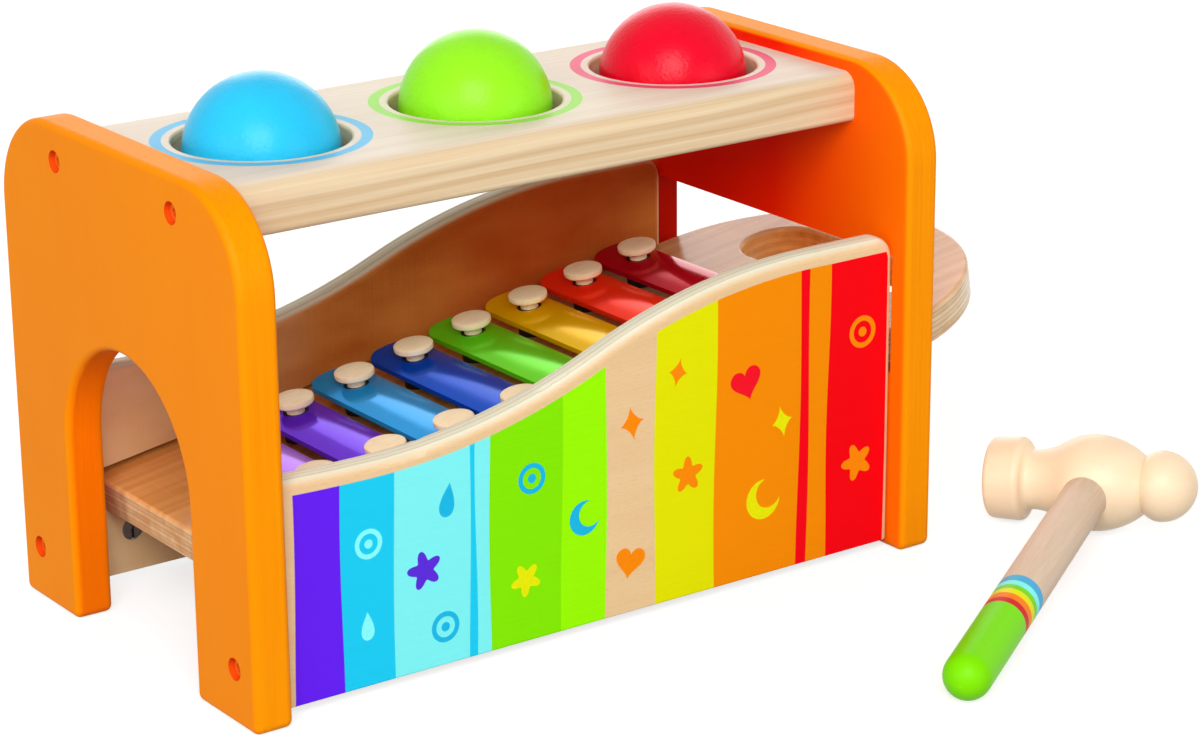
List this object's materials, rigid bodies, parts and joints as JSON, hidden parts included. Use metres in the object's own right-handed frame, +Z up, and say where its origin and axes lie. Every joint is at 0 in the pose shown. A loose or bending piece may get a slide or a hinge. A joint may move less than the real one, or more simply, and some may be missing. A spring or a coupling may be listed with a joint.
{
  "type": "pounding bench",
  "caption": "Wooden pounding bench with balls in a top plank, a sliding xylophone board with tone bars on pegs, an arched end, a windowed end, and a hammer.",
  "frame": {"origin": "middle of the footprint of the bench and its hammer, on the surface they stand on", "axes": "+X from the arched end to the end with the sliding board's grip, +Y from the printed wall to the rear wall, +Z up"},
  "size_m": [0.311, 0.2376, 0.166],
  "materials": {
    "orange_wood": "satin orange paint",
    "plank_wood": "clear satin varnish",
    "printed_wall_wood": "printed stripes under clear varnish",
    "plain_wall_wood": "clear satin varnish",
    "board_plywood": "clear gloss varnish",
    "blue_ball_wood": "satin blue paint",
    "green_ball_wood": "satin green paint",
    "red_ball_wood": "satin red paint",
    "hammer_head_wood": "clear satin varnish",
    "hammer_handle_wood": "clear satin varnish with painted bands",
    "peg_wood": "clear satin varnish",
    "grommet_rubber": "matt",
    "ring_rubber": "matt",
    "bolt_steel": "orange paint over the heads",
    "nut_steel": "plain zinc",
    "lilac_bar_enamel": "gloss enamel",
    "violet_bar_enamel": "gloss enamel",
    "azure_bar_enamel": "gloss enamel",
    "blue_bar_enamel": "gloss enamel",
    "green_bar_enamel": "gloss enamel",
    "yellow_bar_enamel": "gloss enamel",
    "orange_bar_enamel": "gloss enamel",
    "red_bar_enamel": "gloss enamel"
  },
  "bodies": {
    "bench": {"left_end_panel": "orange_wood", "right_end_panel": "orange_wood", "pounding_plank": "plank_wood", "front_wall": "printed_wall_wood", "rear_wall": "plain_wall_wood", "left_ball_ring": "ring_rubber", "middle_ball_ring": "ring_rubber", "right_ball_ring": "ring_rubber", "plank_bolts": "bolt_steel", "wall_bolts": "bolt_steel", "plank_barrel_nuts": "nut_steel", "wall_barrel_nuts": "nut_steel"},
    "xylophone": {"xylophone_board": "board_plywood", "tone_bar_1": "lilac_bar_enamel", "tone_bar_2": "violet_bar_enamel", "tone_bar_3": "azure_bar_enamel", "tone_bar_4": "blue_bar_enamel", "tone_bar_5": "green_bar_enamel", "tone_bar_6": "yellow_bar_enamel", "tone_bar_7": "orange_bar_enamel", "tone_bar_8": "red_bar_enamel", "front_peg_1": "peg_wood", "front_peg_2": "peg_wood", "front_peg_3": "peg_wood", "front_peg_4": "peg_wood", "front_peg_5": "peg_wood", "front_peg_6": "peg_wood", "front_peg_7": "peg_wood", "front_peg_8": "peg_wood", "rear_peg_1": "peg_wood", "rear_peg_2": "peg_wood", "rear_peg_3": "peg_wood", "rear_peg_4": "peg_wood", "rear_peg_5": "peg_wood", "rear_peg_6": "peg_wood", "rear_peg_7": "peg_wood", "rear_peg_8": "peg_wood", "front_grommet_1": "grommet_rubber", "front_grommet_2": "grommet_rubber", "front_grommet_3": "grommet_rubber", "front_grommet_4": "grommet_rubber", "front_grommet_5": "grommet_rubber", "front_grommet_6": "grommet_rubber", "front_grommet_7": "grommet_rubber", "front_grommet_8": "grommet_rubber", "rear_grommet_1": "grommet_rubber", "rear_grommet_2": "grommet_rubber", "rear_grommet_3": "grommet_rubber", "rear_grommet_4": "grommet_rubber", "rear_grommet_5": "grommet_rubber", "rear_grommet_6": "grommet_rubber", "rear_grommet_7": "grommet_rubber", "rear_grommet_8": "grommet_rubber"},
    "left_ball": {"left_ball": "blue_ball_wood"},
    "middle_ball": {"middle_ball": "green_ball_wood"},
    "right_ball": {"right_ball": "red_ball_wood"},
    "hammer": {"hammer_head": "hammer_head_wood", "hammer_handle": "hammer_handle_wood"}
  },
  "joints": [
    {"name": "xylophone_slide", "type": "slide", "parent": "bench", "child": "xylophone", "axis": [0.9879, 0, 0.1552], "range_m": [0, 0.23]},
    {"name": "left_ball_drop", "type": "slide", "parent": "bench", "child": "left_ball", "axis": [0, 0, -1], "range_m": [-0.045, 0.0686], "deforming": ["left_ball_ring"]},
    {"name": "middle_ball_drop", "type": "slide", "parent": "bench", "child": "middle_ball", "axis": [0, 0, -1], "range_m": [-0.045, 0.0592], "deforming": ["middle_ball_ring"]},
    {"name": "right_ball_drop", "type": "slide", "parent": "bench", "child": "right_ball", "axis": [0, 0, -1], "range_m": [-0.045, 0.0461], "deforming": ["right_ball_ring"]},
    {"name": "hammer_lift", "type": "slide", "parent": "bench", "child": "hammer", "axis": [0, -0.6, 0.8], "range_m": [0, 0.15]}
  ]
}
